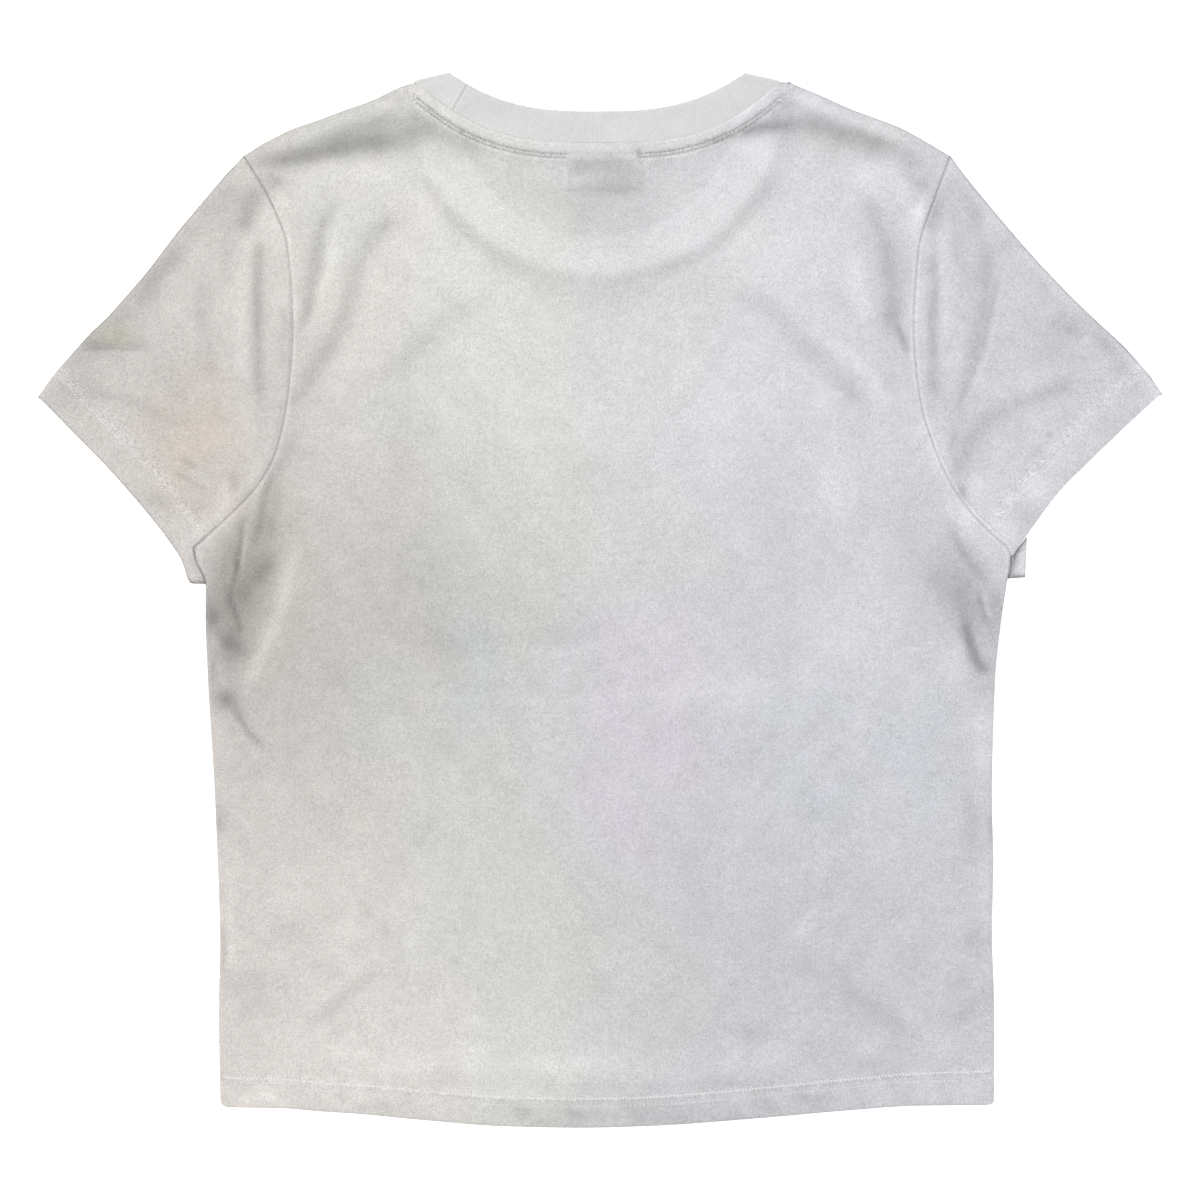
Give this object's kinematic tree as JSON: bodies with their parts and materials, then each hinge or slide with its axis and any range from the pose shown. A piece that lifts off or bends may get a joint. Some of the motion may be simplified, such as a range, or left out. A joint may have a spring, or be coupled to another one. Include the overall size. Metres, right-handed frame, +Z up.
{
  "type": "fitted t-shirt",
  "caption": "Fitted short-sleeved jersey t-shirt laid flat with its back up, with a ribbed neckband, set-in sleeves and turned, stitched hems.",
  "frame": {"origin": "on the surface that the shirt lies on, under the middle of the shirt's box", "axes": "+Z up, out of the back of the shirt; +Y towards the neck; +X towards the wearer's right sleeve"},
  "size_m": [0.64, 0.6011, 0.0061],
  "materials": {
    "jersey": "fine white cotton jersey, matt, slightly creased",
    "rib": "fine white cotton rib, folded double",
    "jersey_tape": "narrow white jersey tape",
    "woven_label": "plain white woven label, bare"
  },
  "bodies": {
    "root": {"front_panel": "jersey", "back_panel": "jersey", "sleeve_left": "jersey", "sleeve_right": "jersey", "neckband": "rib", "neck_tape": "jersey_tape", "neck_label": "woven_label", "care_label": "woven_label"}
  },
  "joints": []
}
